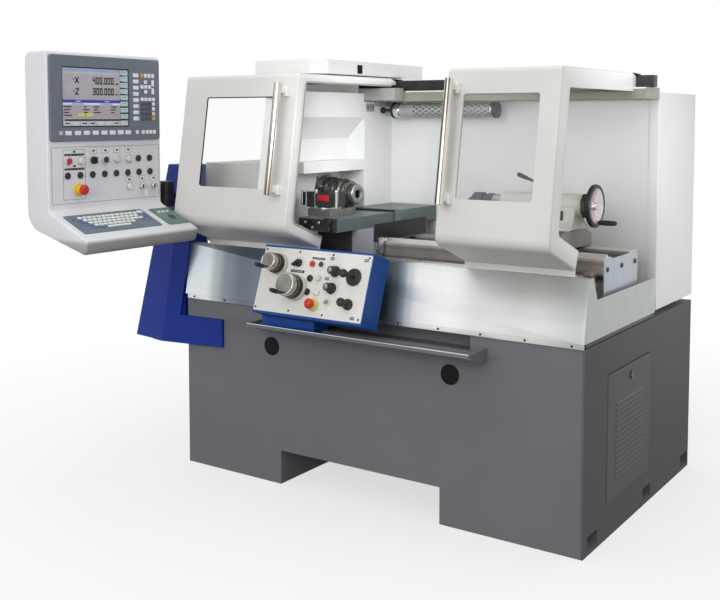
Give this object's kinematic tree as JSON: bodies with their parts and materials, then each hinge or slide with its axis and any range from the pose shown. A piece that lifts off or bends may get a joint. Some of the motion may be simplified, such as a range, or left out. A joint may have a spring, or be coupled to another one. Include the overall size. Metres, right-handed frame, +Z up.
{
  "type": "cnc turning lathe",
  "caption": "Flat-bed turning lathe on a grey base with sliding windowed doors, collet spindle, tailstock, cross slide with toolpost, hand panel and swivel console.",
  "frame": {"origin": "middle of the base footprint on the floor", "axes": "+X along the spindle from headstock to tailstock, +Y from the operator into the machine, +Z up"},
  "size_m": [2.174, 1.964, 1.736],
  "materials": {
    "grey_paint": "satin powder coat, mid grey",
    "black_plastic": "matt black",
    "stainless": "brushed sheet",
    "cast": "ground and painted casting",
    "white_paint": "satin white",
    "door_paint": "satin warm white",
    "tan_paint": "satin grey beige",
    "dark_steel": "dark oiled steel",
    "lamp_glass": "clear tube",
    "pane": "clear polycarbonate",
    "polished": "polished stainless tube",
    "steel": "turned steel",
    "motor_paint": "dark grey",
    "belt_rubber": "matt black",
    "boom_blue": "satin blue",
    "black_metal": "matt black",
    "slide_paint": "satin grey green",
    "cream_paint": "satin cream",
    "wheel_alu": "turned aluminium",
    "box_blue": "satin blue",
    "plate_white": "off-white printed sheet",
    "red_plastic": "gloss red",
    "clear_plastic": "translucent white",
    "console_paint": "silver powder coat",
    "slate_plastic": "slate bezel",
    "key_film": "membrane film"
  },
  "bodies": {
    "frame": {"base_frame": "grey_paint", "end_foot": "grey_paint", "hole_plugs": "black_plastic", "front_trough": "grey_paint", "chip_tray": "stainless", "bed": "cast", "headstock": "cast", "belt_cover": "white_paint", "chuck_wall": "white_paint", "rear_cabinet": "white_paint", "rail_beam": "tan_paint", "door_rail": "dark_steel", "work_lamp": "lamp_glass", "motor": "motor_paint", "drive_belt": "belt_rubber", "spindle_bearings": "steel", "boom": "boom_blue", "swivel_joint": "black_metal"},
    "hatch": {"service_door": "grey_paint"},
    "hatch_latch": {"service_latch": "polished"},
    "door_left": {"left_door": "door_paint", "left_window": "pane", "left_handle": "polished"},
    "door_right": {"right_door": "door_paint", "right_window": "pane", "right_handle": "polished"},
    "spindle_group": {"spindle": "steel", "collet_nose": "dark_steel"},
    "rotor": {"motor_pulley": "steel"},
    "carriage": {"saddle": "cast", "slide_cover": "slide_paint"},
    "cross": {"cross_slide": "slide_paint", "toolpost": "dark_steel"},
    "post_handle": {"toolpost_lever": "black_plastic"},
    "feed_screw": {"z_screw": "steel"},
    "tail": {"tailstock": "cream_paint"},
    "tail_quill": {"quill": "dark_steel"},
    "tail_center": {"live_center": "dark_steel"},
    "tail_wheel": {"tail_handwheel": "wheel_alu"},
    "tail_clamp": {"clamp_lever": "black_plastic"},
    "hand_panel": {"control_box": "box_blue", "control_plate": "plate_white"},
    "wheel_x": {"x_handwheel": "wheel_alu"},
    "wheel_z": {"z_handwheel": "wheel_alu"},
    "knob_mode": {"mode_knob": "black_plastic"},
    "knob_feed": {"feed_knob": "black_plastic"},
    "knob_speed": {"speed_knob": "black_plastic"},
    "stick": {"joystick": "black_plastic"},
    "lever_jog": {"jog_lever": "black_plastic"},
    "stop_panel": {"control_stop": "red_plastic"},
    "button_run": {"run_button": "clear_plastic"},
    "button_halt": {"halt_button": "red_plastic"},
    "console": {"console_case": "console_paint", "screen_unit": "slate_plastic", "keyboard": "key_film"},
    "stop_console": {"console_stop": "red_plastic"},
    "knob_console": {"console_knob": "black_plastic"},
    "button_start": {"console_start": "clear_plastic"},
    "key_a": {"key_switch_a": "polished"},
    "key_b": {"key_switch_b": "polished"}
  },
  "joints": [
    {"name": "hatch_drop", "type": "hinge", "parent": "frame", "child": "hatch", "pos_m": [0.908, 0, 0.1313], "axis": [0, 1, 0], "range_deg": [0, 90]},
    {"name": "hatch_lock", "type": "hinge", "parent": "hatch", "child": "hatch_latch", "pos_m": [0.906, -0.144, 0.549], "axis": [1, 0, 0], "range_deg": [0, 90]},
    {"name": "left_door_slide", "type": "slide", "parent": "frame", "child": "door_left", "axis": [1, 0, 0], "range_m": [0, 0.39]},
    {"name": "right_door_slide", "type": "slide", "parent": "frame", "child": "door_right", "axis": [1, 0, 0], "range_m": [-0.245, 0]},
    {"name": "spindle_turn", "type": "hinge", "parent": "frame", "child": "spindle_group", "pos_m": [-0.3, -0.2, 1.17], "axis": [1, 0, 0], "continuous": true},
    {"name": "motor_turn", "type": "hinge", "parent": "frame", "child": "rotor", "pos_m": [-0.88, 0.33, 1.17], "axis": [1, 0, 0], "continuous": true},
    {"name": "carriage_slide", "type": "slide", "parent": "frame", "child": "carriage", "axis": [1, 0, 0], "range_m": [0, 0.28]},
    {"name": "cross_feed", "type": "slide", "parent": "carriage", "child": "cross", "axis": [0, 1, 0], "range_m": [-0.01, 0.06]},
    {"name": "post_clamp", "type": "hinge", "parent": "cross", "child": "post_handle", "pos_m": [-0.282, -0.425, 1.2], "axis": [0, 0, 1], "range_deg": [-60, 60]},
    {"name": "screw_turn", "type": "hinge", "parent": "frame", "child": "feed_screw", "pos_m": [0, -0.405, 0.93], "axis": [1, 0, 0], "continuous": true},
    {"name": "tail_slide", "type": "slide", "parent": "frame", "child": "tail", "axis": [1, 0, 0], "range_m": [-0.12, 0.06]},
    {"name": "tail_wheel_turn", "type": "hinge", "parent": "tail", "child": "tail_wheel", "pos_m": [0.77, -0.2, 1.17], "axis": [1, 0, 0], "range_deg": [0, 2160]},
    {"name": "quill_feed", "type": "slide", "parent": "tail", "child": "tail_quill", "axis": [1, 0, 0], "range_m": [-0.06, 0]},
    {"name": "center_spin", "type": "hinge", "parent": "tail_quill", "child": "tail_center", "pos_m": [0.3, -0.2, 1.17], "axis": [1, 0, 0], "continuous": true},
    {"name": "quill_clamp", "type": "hinge", "parent": "tail", "child": "tail_clamp", "pos_m": [0.545, -0.2, 1.245], "axis": [0, 0, 1], "range_deg": [-40, 40]},
    {"name": "panel_slide", "type": "slide", "parent": "frame", "child": "hand_panel", "axis": [1, 0, 0], "range_m": [0, 0.28]},
    {"name": "x_wheel_turn", "type": "hinge", "parent": "hand_panel", "child": "wheel_x", "pos_m": [-0.283, -0.72526, 0.92882], "axis": [0, -0.9421, 0.3355], "continuous": true},
    {"name": "z_wheel_turn", "type": "hinge", "parent": "hand_panel", "child": "wheel_z", "pos_m": [-0.181, -0.75276, 0.85157], "axis": [0, -0.9421, 0.3355], "continuous": true},
    {"name": "mode_turn", "type": "hinge", "parent": "hand_panel", "child": "knob_mode", "pos_m": [-0.192, -0.72056, 0.94201], "axis": [0, -0.9421, 0.3355], "range_deg": [-60, 60]},
    {"name": "feed_turn", "type": "hinge", "parent": "hand_panel", "child": "knob_feed", "pos_m": [-0.015, -0.72694, 0.92411], "axis": [0, -0.9421, 0.3355], "range_deg": [-120, 120]},
    {"name": "speed_turn", "type": "hinge", "parent": "hand_panel", "child": "knob_speed", "pos_m": [-0.019, -0.7484, 0.86382], "axis": [0, -0.9421, 0.3355], "range_deg": [-120, 120]},
    {"name": "stick_tilt", "type": "hinge", "parent": "hand_panel", "child": "stick", "pos_m": [0.07, -0.75047, 0.91763], "axis": [1, 0, 0], "range_deg": [-15, 15], "stiffness_Nm_per_rad": 0.6},
    {"name": "jog_turn", "type": "hinge", "parent": "hand_panel", "child": "lever_jog", "pos_m": [0.067, -0.76585, 0.81483], "axis": [0, -0.9421, 0.3355], "range_deg": [-45, 45]},
    {"name": "panel_stop_press", "type": "slide", "parent": "hand_panel", "child": "stop_panel", "axis": [0, 0.9421, -0.3355], "range_m": [0, 0.005], "stiffness_N_per_m": 400},
    {"name": "run_press", "type": "slide", "parent": "hand_panel", "child": "button_run", "axis": [0, 0.9421, -0.3355], "range_m": [0, 0.004], "stiffness_N_per_m": 300},
    {"name": "halt_press", "type": "slide", "parent": "hand_panel", "child": "button_halt", "axis": [0, 0.9421, -0.3355], "range_m": [0, 0.004], "stiffness_N_per_m": 300},
    {"name": "console_swivel", "type": "hinge", "parent": "frame", "child": "console", "pos_m": [-0.905, -0.715, 1.178], "axis": [0, 0, 1], "range_deg": [-60, 6]},
    {"name": "console_stop_press", "type": "slide", "parent": "console", "child": "stop_console", "axis": [-1, 0, 0], "range_m": [0, 0.005], "stiffness_N_per_m": 400},
    {"name": "console_knob_turn", "type": "hinge", "parent": "console", "child": "knob_console", "pos_m": [-0.826, -1.167, 1.335], "axis": [1, 0, 0], "range_deg": [-60, 60]},
    {"name": "start_press", "type": "slide", "parent": "console", "child": "button_start", "axis": [-1, 0, 0], "range_m": [0, 0.004], "stiffness_N_per_m": 300},
    {"name": "key_a_turn", "type": "hinge", "parent": "console", "child": "key_a", "pos_m": [-0.826, -0.921, 1.224], "axis": [1, 0, 0], "range_deg": [0, 90]},
    {"name": "key_b_turn", "type": "hinge", "parent": "console", "child": "key_b", "pos_m": [-0.826, -0.859, 1.224], "axis": [1, 0, 0], "range_deg": [0, 90]}
  ],
  "couplings": [
    {"joint": "motor_turn", "follows": "spindle_turn", "ratio": 1},
    {"joint": "panel_slide", "follows": "carriage_slide", "ratio": 1},
    {"joint": "screw_turn", "follows": "carriage_slide", "rad_per_m": 314.16},
    {"joint": "quill_feed", "follows": "tail_wheel_turn", "m_per_rad": -0.0015915}
  ]
}
